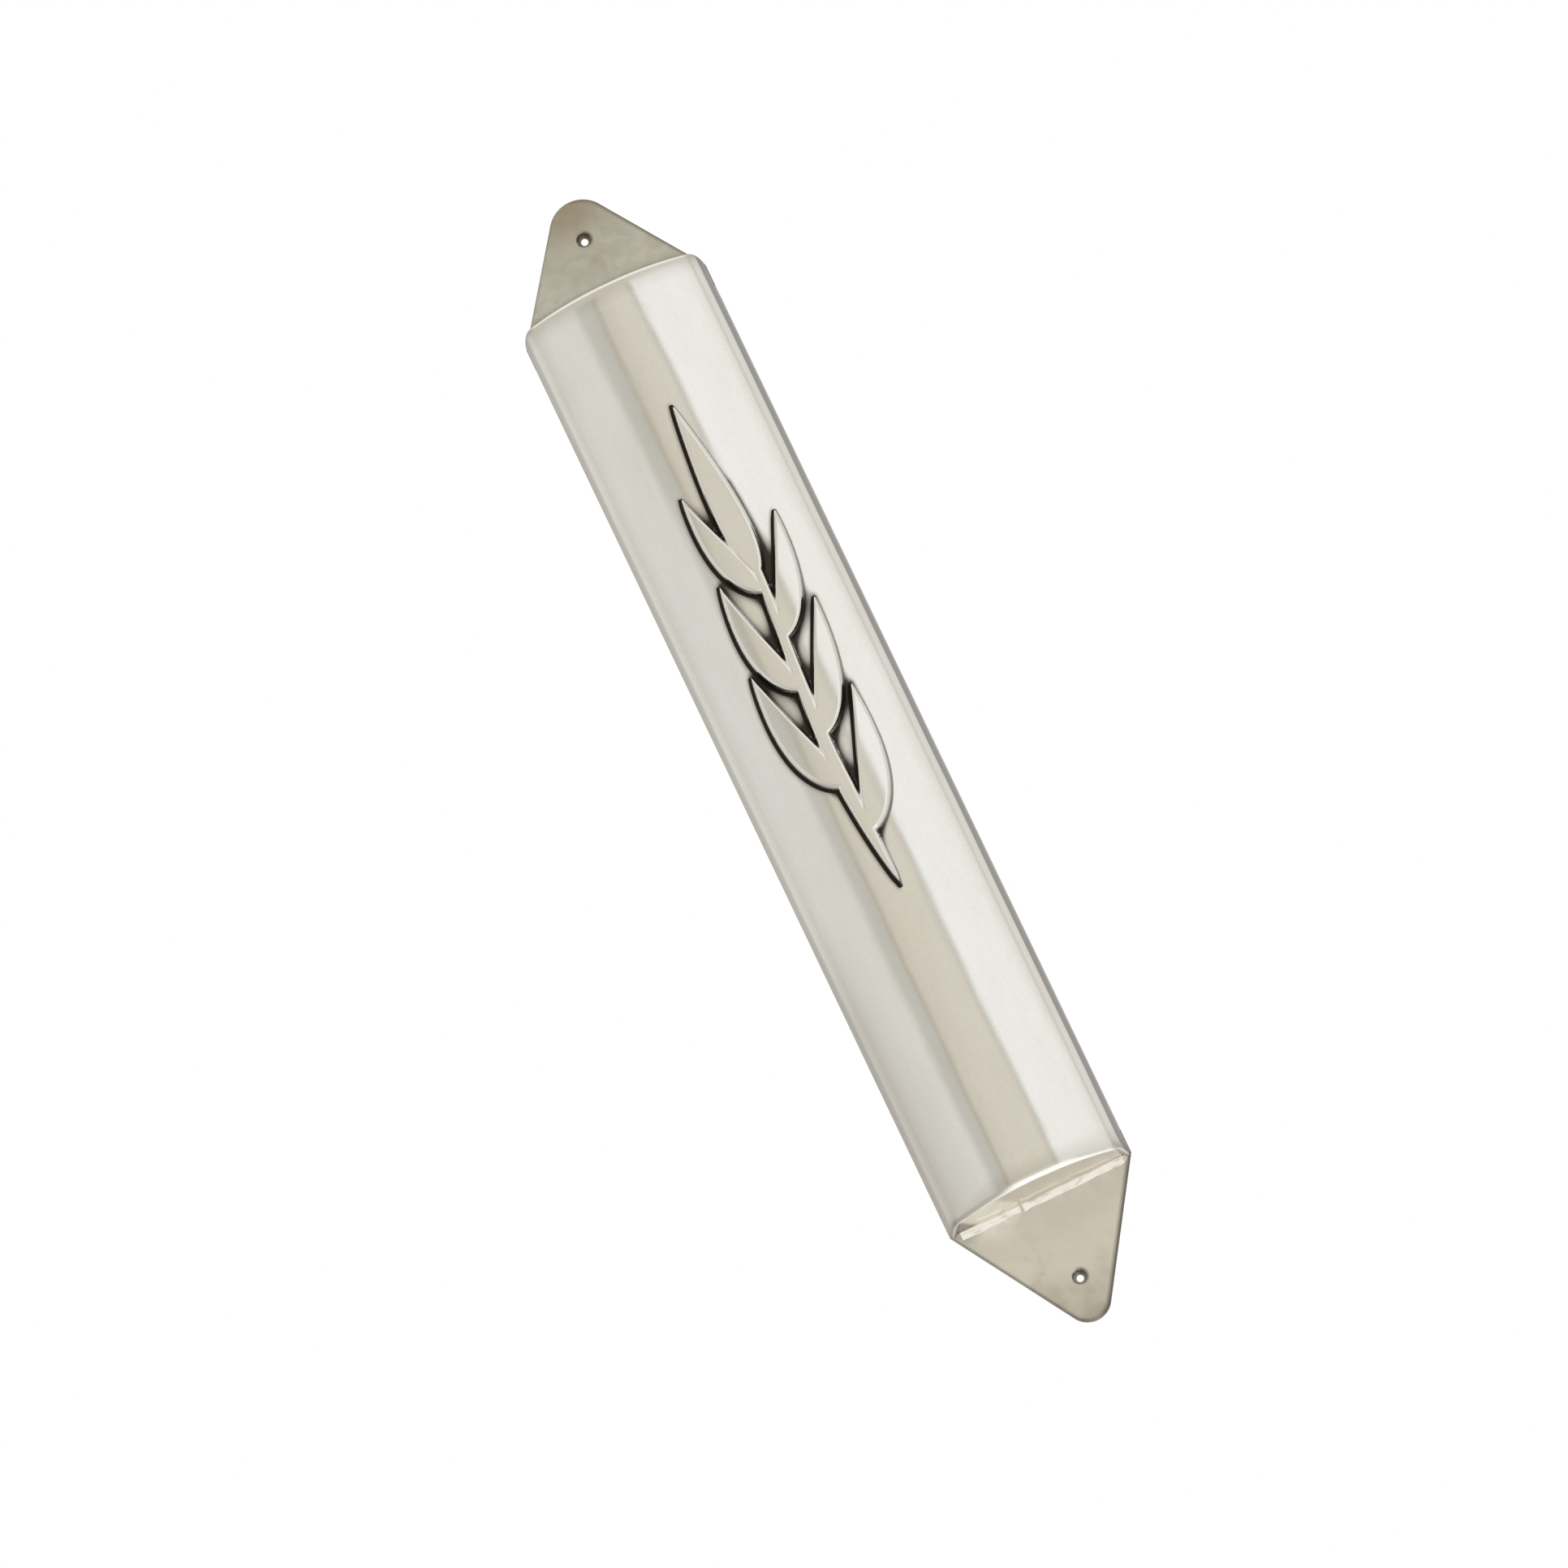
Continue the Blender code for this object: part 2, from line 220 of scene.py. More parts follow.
# Silver left dull from the pickle: mottled and rubbed, with faint brown stains. The attribute "age"
# is how handled a spot is, from 0 by the cover to 1 at a tab's tip.
def matteBuild(light, dark, aged, stain):
    def build(graph):
        grain = graph.noise(matte["grain"], detail=4.0)
        mottle = graph.noise(matte["mottleGrain"], detail=5.0, distortion=0.4)
        clouds = graph.noise(matte["cloudGrain"], detail=3.0, shift=0.3)
        rubs = graph.noise(matte["rubGrain"], stretch=(1, 1, 0.12), detail=3.0, slant=matte["rubSlant"])
        tone = graph.eased(clouds, 0.3, 0.72) * 0.45 + graph.eased(mottle, 0.35, 0.7) * 0.35
        tone = tone + graph.eased(rubs, 0.35, 0.75) * 0.2
        colour = graph.mix(tone, dark, light)
        handled = graph.attribute("age")
        age = handled + (clouds - 0.5) * 0.9 + (mottle - 0.5) * 0.3
        wornDark, wornLight = ([matte[k] * c for c in aged] for k in ("wornDark", "wornLight"))
        worn = graph.mix(tone, wornDark, wornLight)
        colour = graph.mix(graph.eased(age, 0.48, 1.06), colour, worn)
        spots = graph.noise(matte["spotGrain"], detail=5.0, distortion=1.2, shift=0.7)
        spots = graph.eased(spots, 0.54, 0.74) * (handled * 0.5 + 0.4)
        colour = graph.mix(spots * stain, colour, matte["stain"])
        # Painted shade and painted shadow, in a dark brown, where the attribute says
        colour = graph.mix(graph.attribute("oxide"), colour, matte["dirt"])
        return {
            "Base Color": colour,
            "Roughness": matte["rough"] + graph.eased(mottle, 0.3, 0.8) * matte["mottleRough"],
            "Normal": graph.bump(grain * 0.6 + rubs * 0.4, 0.22, matte["relief"]),
        }
    return build


drawn = {
    "lineGrain": 0.12 * mm,
    "rubGrain": 1.1 * mm,
    "cloudGrain": 9 * mm,
    "dark": (0.74, 0.72, 0.665),
    "light": (0.82, 0.80, 0.75),
    "rubbed": (0.90, 0.89, 0.87),
    "rough": 0.24,
    "lineRough": 0.2,
    "relief": 0.008 * mm,
}


# Sheet with marks drawn along its length, where the door rubs in its guides.
def drawnBuild(graph):
    lines = graph.noise(drawn["lineGrain"], stretch=(1, 1, 0.008), detail=4.0)
    rubs = graph.noise(drawn["rubGrain"], stretch=(1, 1, 0.03), detail=3.0, shift=0.5)
    clouds = graph.noise(drawn["cloudGrain"], stretch=(1, 1, 0.4), detail=3.0)
    colour = graph.mix(graph.eased(clouds, 0.3, 0.75), drawn["dark"], drawn["light"])
    return {
        "Base Color": graph.mix(graph.eased(rubs, 0.58, 0.75) * 0.3, colour, drawn["rubbed"]),
        "Roughness": drawn["rough"] + graph.eased(lines, 0.4, 0.75) * drawn["lineRough"],
        "Normal": graph.bump(lines, 0.3, drawn["relief"]),
    }


solder = {
    "lumpGrain": 1.3 * mm,
    "skinGrain": 0.5 * mm,
    "bright": (0.82, 0.79, 0.725),
    "skin": (0.60, 0.56, 0.48),
    "crest": (0.72, 0.68, 0.60),
    "rough": 0.22,
    "skinRough": 0.2,
    "relief": 0.06 * mm,
}


# Solder that has flowed: bright and faintly lumpy, with a little grey skin.
def solderBuild(graph):
    lumps = graph.noise(solder["lumpGrain"], stretch=(0.5, 1, 1), detail=2.0)
    skin = graph.noise(solder["skinGrain"], stretch=(0.35, 1, 1), detail=3.0, shift=0.6)
    colour = graph.mix(graph.eased(skin, 0.5, 0.75) * 0.6, solder["bright"], solder["skin"])
    return {
        "Base Color": graph.mix(graph.eased(lumps, 0.5, 0.7) * 0.5, colour, solder["crest"]),
        "Roughness": solder["rough"] + graph.eased(skin, 0.4, 0.8) * solder["skinRough"],
        "Normal": graph.bump(lumps + skin * 0.12, 0.6, solder["relief"]),
    }


parchment = {
    "veinGrain": 2.4 * mm,
    "poreGrain": 0.16 * mm,
    "cloudGrain": 11 * mm,
    "tan": (0.74, 0.62, 0.42),
    "cream": (0.86, 0.78, 0.61),
    "vein": (0.60, 0.46, 0.28),
    "pore": (0.45, 0.34, 0.22),
    "rough": 0.55,
    "veinRough": 0.2,
    "relief": 0.03 * mm,
}


# Blank skin: cream, veined and faintly greasy, darker in its pores.
def parchmentBuild(graph):
    veins = graph.noise(parchment["veinGrain"], detail=6.0, distortion=1.5)
    pores = graph.noise(parchment["poreGrain"], detail=3.0, shift=0.8)
    clouds = graph.noise(parchment["cloudGrain"], detail=2.0, shift=0.1)
    colour = graph.mix(graph.eased(clouds, 0.3, 0.7), parchment["tan"], parchment["cream"])
    colour = graph.mix(graph.eased(veins, 0.52, 0.72) * 0.45, colour, parchment["vein"])
    return {
        "Base Color": graph.mix(graph.eased(pores, 0.62, 0.8) * 0.35, colour, parchment["pore"]),
        "Roughness": parchment["rough"] + graph.eased(veins, 0.3, 0.7) * parchment["veinRough"],
        "Normal": graph.bump(pores + veins * 0.5, 0.5, parchment["relief"]),
    }


metal = {"Metallic": 1.0}
coverSilver = newMaterial("coverSilver", metal, polishedBuild(scratchGrain=0.06 * mm, warmth=0.35))
sprigSilver = newMaterial("sprigSilver", metal, polishedBuild(scratchGrain=0.05 * mm, warmth=0.5))
wallSilver = newMaterial("wallSilver", metal, polishedBuild(scratchGrain=0.08 * mm, warmth=0.6))
# The two tabs are one matte silver in a darker and a lighter copy: painted shade on the upper tab, painted
# light on the lower one
upperTabSilver = newMaterial("upperTabSilver", metal, matteBuild(
    light=(0.785, 0.765, 0.685), dark=(0.61, 0.60, 0.525), aged=(0.50, 0.44, 0.345), stain=0.4,
))
lowerTabSilver = newMaterial("lowerTabSilver", metal, matteBuild(
    light=(1.0, 0.965, 0.885), dark=(0.915, 0.88, 0.79), aged=(0.62, 0.585, 0.495), stain=0.25,
))
railSilver = newMaterial("railSilver", metal, matteBuild(
    light=(0.72, 0.70, 0.63), dark=(0.58, 0.565, 0.50), aged=(0.50, 0.48, 0.42), stain=0.3,
))
doorSilver = newMaterial("doorSilver", metal, drawnBuild)
brightSolder = newMaterial("brightSolder", metal, solderBuild)
creamParchment = newMaterial("creamParchment", {"Specular IOR Level": 0.4}, parchmentBuild)
print("stage: finishes made")


# Mesh building

# The faces turned so that the closed surface has a positive volume: the sum over its triangles of
# a . (b x c), which is six times the volume.
def facedOut(points, faceSets):
    volume = 0.0
    for faces in faceSets:
        first = points[faces[:, 0]]
        for k in range(1, faces.shape[1] - 1):
            crossed = np.cross(points[faces[:, k]], points[faces[:, k + 1]])
            volume += np.einsum("ij,ij->", first, crossed)
    return faceSets if volume > 0 else [faces[:, ::-1] for faces in faceSets]


# Points and arrays of faces, each array with its own number of corners, into one object. marks
# holds the attributes that the finish reads, each with a value for every point.
def addMesh(name, points, faceSets, material, marks=None, sharpDegrees=None):
    faceSets = facedOut(points, faceSets)
    mesh = bpy.data.meshes.new(name)
    mesh.vertices.add(len(points))
    mesh.vertices.foreach_set("co", points.astype(np.float32).ravel())
    sizes = np.concatenate([np.full(len(faces), faces.shape[1]) for faces in faceSets])
    corners = np.concatenate([faces.ravel() for faces in faceSets]).astype(np.int32)
    mesh.loops.add(len(corners))
    mesh.loops.foreach_set("vertex_index", corners)
    starts = np.concatenate([[0], np.cumsum(sizes)[:-1]]).astype(np.int32)
    mesh.polygons.add(len(sizes))
    mesh.polygons.foreach_set("loop_start", starts)
    mesh.update(calc_edges=True)
    mesh.validate()
    for mark, values in (marks or {}).items():
        mesh.attributes.new(mark, "FLOAT", "POINT").data.foreach_set("value", values.astype(np.float32))
    mesh.shade_smooth()
    if sharpDegrees:
        mesh.set_sharp_from_angle(angle=math.radians(sharpDegrees))
    mesh.materials.append(material)
    piece = bpy.data.objects.new(name, mesh)
    bpy.context.scene.collection.objects.link(piece)
    return piece


# The piece rides on a body and stands for a CAD node, which is hidden.
def settle(piece, body, node):
    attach(piece, body)
    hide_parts(node)


# 0 up to zeroAt, 1 from oneAt on, and straight between. The two may be in either order.
def ramp(value, zeroAt, oneAt):
    return np.clip((value - zeroAt) / (oneAt - zeroAt), 0, 1)


# Quads of a grid of rows by cols points. closed joins the last column to the first.
def gridFaces(rows, cols, closed):
    i, j = np.meshgrid(np.arange(rows - 1), np.arange(cols if closed else cols - 1), indexing="ij")
    k = (j + 1) % cols
    quads = [i * cols + j, (i + 1) * cols + j, (i + 1) * cols + k, i * cols + k]
    return np.stack([corner.ravel() for corner in quads], axis=1)


# A closed loop of cols points carried through rows places, with a cap on each end.
def sweptFaces(rows, cols):
    loop = np.arange(cols)
    return [gridFaces(rows, cols, True), loop[None, ::-1], (rows - 1) * cols + loop[None, :]]


# A bar with rounded edges. Its section is a rectangle with quarter circles for corners, and over the
# last radius of its length the section draws in by radius - sqrt(radius^2 - run^2).
def roundedBar(name, low, high, radius, material, longAxis=2, steps=5, stations=24):
    low, high = np.array(low), np.array(high)
    middle, half = (low + high) / 2, (high - low) / 2
    side = [axis for axis in range(3) if axis != longAxis]
    turn = np.linspace(0, np.pi / 2, steps + 1)
    quarter = np.stack([np.cos(turn), np.sin(turn)], axis=1)
    corners = []
    for number, signs in enumerate(((1, 1), (-1, 1), (-1, -1), (1, -1))):
        arc = quarter if number % 2 == 0 else quarter[::-1]
        corners.append(np.array(signs) * (half[side] - radius + radius * arc))
    loop = np.concatenate(corners)
    depth = radius * (1 - np.cos(turn))
    ends = half[longAxis] - radius * (1 - np.sin(turn))
    span = np.linspace(-ends[0], ends[0], stations)[1:-1]
    along = np.concatenate([-ends[::-1], span, ends])
    draw = np.concatenate([depth[::-1], np.zeros(len(span)), depth])
    shrink = 1 - draw[:, None] / half[side]
    points = np.empty((len(along), len(loop), 3))
    points[:, :, side] = middle[side] + shrink[:, None, :] * loop
    points[:, :, longAxis] = middle[longAxis] + along[:, None]
    faceSets = sweptFaces(len(along), len(loop))
    return addMesh(name, points.reshape(-1, 3), faceSets, material, sharpDegrees=40)


# How far a point is inside a closed outline: the least distance to its edges, negative where a ray
# crosses the outline an even number of times.
def outlineDepth(a, b, outline):
    least = np.full(a.shape, np.inf)
    inside = np.zeros(a.shape, bool)
    for start, end in zip(outline, np.roll(outline, -1, axis=0)):
        edge = end - start
        along = ((a - start[0]) * edge[0] + (b - start[1]) * edge[1]) / (edge @ edge + 1e-20)
        along = np.clip(along, 0, 1)
        away = (a - start[0] - along * edge[0]) ** 2 + (b - start[1] - along * edge[1]) ** 2
        least = np.minimum(least, away)
        if start[1] != end[1]:
            crossing = start[0] + edge[0] * (b - start[1]) / edge[1]
            inside ^= ((start[1] > b) != (end[1] > b)) & (a < crossing)
    return np.where(inside, 1, -1) * np.sqrt(least)


# Evenly spaced values from low to high, about a cell apart.
def gridLines(low, high, cell):
    return np.linspace(low, high, int(round((high - low) / cell)) + 1)


# Grid lines over an outline's box and a margin round it.
def linesRound(outline, cell, margin):
    low, high = outline.min(axis=0) - margin, outline.max(axis=0) + margin
    return [gridLines(low[k], high[k], cell) for k in (0, 1)]


# The free points within about half a cell of where depth is 0, moved onto that line: each goes back
# along the slope by depth over the slope's length.
def drawnOnto(a, b, depth, lines, free, reach=0.55, leastSteep=0.3):
    slopeA, slopeB = np.gradient(depth, *lines)
    steep = np.maximum(slopeA**2 + slopeB**2, leastSteep)
    cell = max(line[1] - line[0] for line in lines)
    near = (np.abs(depth) < reach * cell) & free
    back = np.where(near, depth / steep, 0)
    return a - back * slopeA, b - back * slopeB, near


# Sheet cut to an outline. The grid's points nearest the outline are drawn onto it, and then those
# nearest a crease. Cells outside are dropped, and front and back are joined round the edge. front,
# back and marksAt work out places and attributes from the two grid values and the depth.
def cutSheet(name, depthAt, lines, front, back, material, marksAt, sharpDegrees=None, crease=None):
    a, b = np.meshgrid(*lines, indexing="ij")
    depth = depthAt(a, b)
    creaseDepth = crease(a, b) if crease else None
    a, b, near = drawnOnto(a, b, depth, lines, True)
    if crease:
        a, b, _ = drawnOnto(a, b, creaseDepth, lines, ~near)
    depth = np.where(near, 0, depth)
    outside = (depth < 0).ravel()
    quads = gridFaces(*depth.shape, False)
    lost = outside[quads]
    count = lost.sum(axis=1)
    whole = quads[count == 0]
    gone = np.argmax(lost[count == 1], axis=1)
    order = (gone[:, None] + np.array([1, 2, 3])) % 4
    corners = np.take_along_axis(quads[count == 1], order, axis=1)
    used = np.unique(np.concatenate([whole.ravel(), corners.ravel()]))
    renumber = np.full(depth.size, -1)
    renumber[used] = np.arange(len(used))
    whole, corners = renumber[whole], renumber[corners]
    a, b, depth = a.ravel()[used], b.ravel()[used], np.maximum(depth.ravel()[used], 0)
    total = len(used)
    points = np.concatenate([np.stack(face(a, b, depth), axis=1) for face in (front, back)])
    edges = np.concatenate([
        faces[:, [k, (k + 1) % faces.shape[1]]]
        for faces in (whole, corners)
        for k in range(faces.shape[1])
    ])
    keys = edges[:, 0].astype(np.int64) * total + edges[:, 1]
    twins = edges[:, 1].astype(np.int64) * total + edges[:, 0]
    rim = edges[~np.isin(keys, twins)]
    skirt = np.stack([rim[:, 1], rim[:, 0], rim[:, 0] + total, rim[:, 1] + total], axis=1)
    faceSets = [whole, corners, whole[:, ::-1] + total, corners[:, ::-1] + total, skirt]
    marks = {mark: np.tile(values, 2) for mark, values in marksAt(a, b, depth).items()}
    faceSets = [faces for faces in faceSets if len(faces)]
    return addMesh(name, points, faceSets, material, marks, sharpDegrees)


# How far a rounded edge falls away: height * (1 - sqrt(1 - (1 - depth/width)^2)).
def roundedDrop(depth, width, height):
    return height * (1 - np.sqrt(1 - ramp(depth, width, 0) ** 2))


# The cover's section

coverLow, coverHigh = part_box("front_cover")
tabLow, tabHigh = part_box("upper_mounting_tab")
section = {
    "sheet": 0.9 * mm,
    "backHalfWidth": tabHigh.x,
    "bendHalfWidth": 11.35 * mm,
    "bendStart": 5.4 * mm,
    "shoulderDepth": 7.0 * mm,
    "crownHalfWidth": 10.25 * mm,
    "crest": -coverLow.y,
    "top": coverHigh.z,
    "foot": tabLow.y - 0.03 * mm,
}
crownSag = section["crest"] - section["shoulderDepth"]
crownRadius = (section["crownHalfWidth"] ** 2 + crownSag**2) / (2 * crownSag)
crownCentreY = crownRadius - section["crest"]


# The crown is an arc: y = centre - sqrt(radius^2 - x^2).
def crownY(x):
    return crownCentreY - np.sqrt(crownRadius**2 - x**2)


# Right half of the section: a side wall that draws in with the square of its depth, a bend as a
# quadratic curve whose middle point is where the wall's and the arc's tangents meet, and half of
# the crown's arc.
def halfOutline(sideSteps, bendSteps, crownSteps):
    drawIn = section["backHalfWidth"] - section["bendHalfWidth"]
    y = np.linspace(section["foot"], -section["bendStart"], sideSteps)
    side = np.stack([section["backHalfWidth"] - drawIn * (y / section["bendStart"]) ** 2, y], axis=1)
    lean = 2 * drawIn / section["bendStart"]
    endX = section["crownHalfWidth"]
    bendEnd = np.array([endX, crownY(endX)])
    slope = endX / math.sqrt(crownRadius**2 - endX**2)
    rise = bendEnd[1] - slope * endX + section["bendStart"]
    cornerX = (section["bendHalfWidth"] + lean * rise) / (1 - lean * slope)
    corner = np.array([cornerX, bendEnd[1] + slope * (cornerX - endX)])
    t = np.linspace(0, 1, bendSteps)[1:, None]
    bend = side[-1] * (1 - t) ** 2 + corner * 2 * t * (1 - t) + bendEnd * t**2
    angle = np.linspace(math.asin(endX / crownRadius), 0, crownSteps)[1:]
    crown = np.stack([crownRadius * np.sin(angle), crownCentreY - crownRadius * np.cos(angle)], axis=1)
    return np.concatenate([side, bend, crown])


# The right half from its foot to the crest, then its mirror image down to the left foot.
def wholeOutline(sideSteps=10, bendSteps=14, crownSteps=44):
    right = halfOutline(sideSteps, bendSteps, crownSteps)
    return np.concatenate([right, (right * [-1, 1])[-2::-1]])


# Unit normals of an open outline that runs from the right foot to the left one: its direction,
# turned a quarter turn outwards.
def outwardOf(outline):
    along = np.gradient(outline, axis=0)
    normal = np.stack([-along[:, 1], along[:, 0]], axis=1)
    return normal / np.linalg.norm(normal, axis=1)[:, None]


# The raised sprig

sprig = {
    "length": 66.8 * mm,
    "top": 44.5 * mm,
    "dressRadius": 25.1 * mm,
    "proud": 1.4 * mm,
    "sunk": 0.10 * mm,
    "edgeWidth": 0.46 * mm,
    "edgeHeight": 0.90 * mm,
    # The painted shadow round the sprig's foot: its widths to the right and to the left, its film and its
    # fall; then the painted shade along its edges
    "shadowRight": 0.14 * mm,
    "shadowLeft": 0.30 * mm,
    "shadowFilm": 0.035 * mm,
    "shadowFall": 0.09 * mm,
    "sprigEdgeShade": 0.11 * mm,
    "shadeFadeRight": 0.36,
    "stemX": 1.0 * mm,
    "stemSway": 0.9 * mm,
    "stemHalfWidth": 1.25 * mm,
    "stemPoint": 14.0 * mm,
    "leafPairs": 3,
    "leafFirst": 7.3 * mm,
    "leafPitch": 13.2 * mm,
    "leafLift": 6.5 * mm,
    "leafLength": 18.5 * mm,
    "leafReach": 5.6 * mm,
    "leafHalfWidth": 1.95 * mm,
    "leafBow": (0.75, 0.28),
    "leafShrink": 0.93,
    "topLeafLength": 24.5 * mm,
    "cell": 0.105 * mm,
}
sprigFoot = sprig["top"] - sprig["length"]


# The stem sways once over its length: x = middle + sway * sin.
def stemX(z):
    return sprig["stemX"] + sprig["stemSway"] * np.sin(2 * np.pi * (sprig["top"] - z) / sprig["length"])


# Half width: a power curve out of the pointed foot, then a straight thinning to the top.
def stemOutline(steps=40):
    length = sprig["length"] - sprig["topLeafLength"] / 2
    up = np.linspace(0, length, steps)
    half = sprig["stemHalfWidth"] * np.minimum(1, up / sprig["stemPoint"]) ** 0.6 * (1 - 0.6 * up / length)
    x = stemX(sprigFoot + up)
    right = np.stack([x + half, sprigFoot + up], axis=1)
    left = np.stack([x - half, sprigFoot + up], axis=1)
    return np.concatenate([right, left[:0:-1]])


# A quadratic curve from the stem to the tip, with half widths of sin(pi t^0.8)^0.8.
def leafOutline(baseZ, length, reach, halfWidth, steps=30):
    base = np.array([stemX(baseZ), baseZ])
    tip = np.array([stemX(baseZ + length) + reach, baseZ + length])
    bow = base + np.array(sprig["leafBow"]) * [reach, length]
    t = np.linspace(0, 1, steps + 1)[:, None]
    middle = base * (1 - t) ** 2 + bow * 2 * t * (1 - t) + tip * t**2
    along = (bow - base) * (1 - t) + (tip - bow) * t
    across = np.stack([along[:, 1], -along[:, 0]], axis=1)
    across = across / np.linalg.norm(across, axis=1)[:, None]
    half = halfWidth * np.clip(np.sin(np.pi * t**0.8), 0, 1) ** 0.8
    return np.concatenate([middle + across * half, (middle - across * half)[-2:0:-1]])


# The stem, then pairs of leaves that get smaller upwards, the left one of each pair above the right
# one, and one straight leaf at the top.
def sprigOutlines():
    outlines = [stemOutline()]
    for pair in range(sprig["leafPairs"]):
        for side, lift, shrink in ((1, 0.0, pair), (-1, sprig["leafLift"], pair + 0.5)):
            scale = sprig["leafShrink"] ** shrink
            baseZ = sprigFoot + sprig["leafFirst"] + sprig["leafPitch"] * pair + lift
            reach = side * sprig["leafReach"] * scale
            size = sprig["leafLength"] * scale
            outlines.append(leafOutline(baseZ, size, reach, sprig["leafHalfWidth"] * scale))
    topLeaf = sprig["top"] - sprig["topLeafLength"]
    return outlines + [leafOutline(topLeaf, sprig["topLeafLength"], 0.0, sprig["leafHalfWidth"])]


outlines = sprigOutlines()


# Depth inside the union of stem and leaves: the greatest depth of any of them.
def sprigDepth(x, z):
    depth = np.full(x.shape, -np.inf)
    for outline in outlines:
        depth = np.maximum(depth, outlineDepth(x, z, outline))
    return depth


# Depth inside the painted shadow round the sprig's foot: the sprig grown by a line all round, and further
# to its left.
def footDepth(x, z):
    grown = sprigDepth(x, z) + sprig["shadowRight"]
    for share in (0.5, 1.0):
        grown = np.maximum(grown, sprigDepth(x + share * sprig["shadowLeft"], z) + sprig["shadowRight"])
    return grown


# Inside the outline the front is an arc about a far centre, less a rounded edge. Outside it a thin
# film lies on the cover's own arc, black as a painted shadow round the sprig's foot.
def makeSprig():
    lines = linesRound(np.concatenate(outlines), sprig["cell"], 8 * sprig["cell"])
    frontCentre = sprig["dressRadius"] - section["crest"] - sprig["proud"]

    def front(x, z, depth):
        inside = sprigDepth(x, z)
        arc = frontCentre - np.sqrt(sprig["dressRadius"] ** 2 - x**2)
        raised = arc + roundedDrop(np.maximum(inside, 0), sprig["edgeWidth"], sprig["edgeHeight"])
        film = crownY(x) - sprig["shadowFilm"]
        fall = ramp(inside, 0, -sprig["shadowFall"])
        return x, raised * (1 - fall) + film * fall, z

    def back(x, z, depth):
        return x, crownY(x) + sprig["sunk"], z

    # Painted shade along the sprig's edges, lighter along right-hand edges
    def marks(x, z, depth, step=0.2 * mm):
        toRight = (sprigDepth(x + step, z) - sprigDepth(x - step, z)) / (2 * step)
        strength = 1 + sprig["shadeFadeRight"] * np.clip(toRight, -1, 0)  # lighter along right-hand edges
        return {"oxide": strength * ramp(sprigDepth(x, z), sprig["sprigEdgeShade"], 0)}

    piece = cutSheet("sprigOverlay", footDepth, lines, front, back, sprigSilver, marks, crease=sprigDepth)
    settle(piece, "case", "front_emblem")


makeSprig()
print("stage: sprig made")


# The cover

cover = {
    "edgeRound": 0.55 * mm,
    "innerRound": 0.12 * mm,
    "skin": 0.10 * mm,
    "outerStations": 320,
    "innerStations": 24,
    "rollLength": 2.1 * mm,
    "rollDepth": 0.31 * mm,
    "rollForward": (5 * mm, 7.4 * mm),
    "ripple": 0.06 * mm,
    "waves": ((1.0, 31 * mm, 38 * mm, 0.0), (0.7, 17 * mm, -23 * mm, 1.1), (0.5, 53 * mm, 9 * mm, 2.3)),
    "wornX": 0.9 * mm,
    "wornHalfWidth": 5.4 * mm,
    "wornDown": (12 * mm, -28 * mm),
    "wornDepth": 0.13 * mm,
    # Painted shade round the sprig and in its forks
    "shade": 0.75,
    "shadeReach": 0.55 * mm,
    "shadeShift": 0.36 * mm,
    "fork": 0.97,
    "forkReach": 1.0 * mm,
    "forkNearness": (0.80, 1.25),
    "dull": 0.8,
    "dullDown": (-18 * mm, -34 * mm),
    "dullLeft": (-8 * mm, -13 * mm),
    "endDull": 0.75,
    "endRun": (2.8 * mm, 0.8 * mm),
    "rimRun": (0.24 * mm, 0.54 * mm),
    "cornerAside": (9.9 * mm, 10.6 * mm),
    "cornerRun": (1.12 * mm, 0.42 * mm),
    "cornerShade": 0.22,
}


# Hand work left in the sheet: slow waves, each with a share, two lengths and a start, and a long flat
# place below the middle, 1 + cos across it. None of it is proud of the surface.
def ripple(x, z):
    waves = sum(
        share * np.sin(2 * np.pi * (z / alongZ + x / alongX) + start)
        for share, alongZ, alongX, start in cover["waves"]
    )
    total = sum(wave[0] for wave in cover["waves"])
    across = ramp(np.abs(x - cover["wornX"]), 0, cover["wornHalfWidth"])
    low = ramp(z, *cover["wornDown"])
    worn = cover["wornDepth"] * (1 + np.cos(np.pi * across)) / 2 * low * low * (3 - 2 * low)
    return cover["ripple"] * (waves / total + 1) / 2 + worn


# The sheet's own section along its length: offset inwards and height, with rounded ends.
def sheetLoop():
    top, sheet = section["top"], section["sheet"]
    outer, inner = cover["edgeRound"], cover["innerRound"]
    turn = np.linspace(0, np.pi / 2, 10)[1:]
    small = np.linspace(0, np.pi / 2, 4)
    run = np.linspace(-top + outer, top - outer, cover["outerStations"])
    innerRun = np.linspace(top - inner, -top + inner, cover["innerStations"])[1:-1]
    endOffset = np.concatenate([outer * (1 - np.cos(turn)), sheet - inner * (1 - np.sin(small))])
    endHeight = top - np.concatenate([outer * (1 - np.sin(turn)), inner * (1 - np.cos(small))])
    offset = [np.zeros(len(run)), endOffset, np.full(len(innerRun), sheet), endOffset[::-1]]
    return np.concatenate(offset), np.concatenate([run, endHeight, innerRun, -endHeight[::-1]])


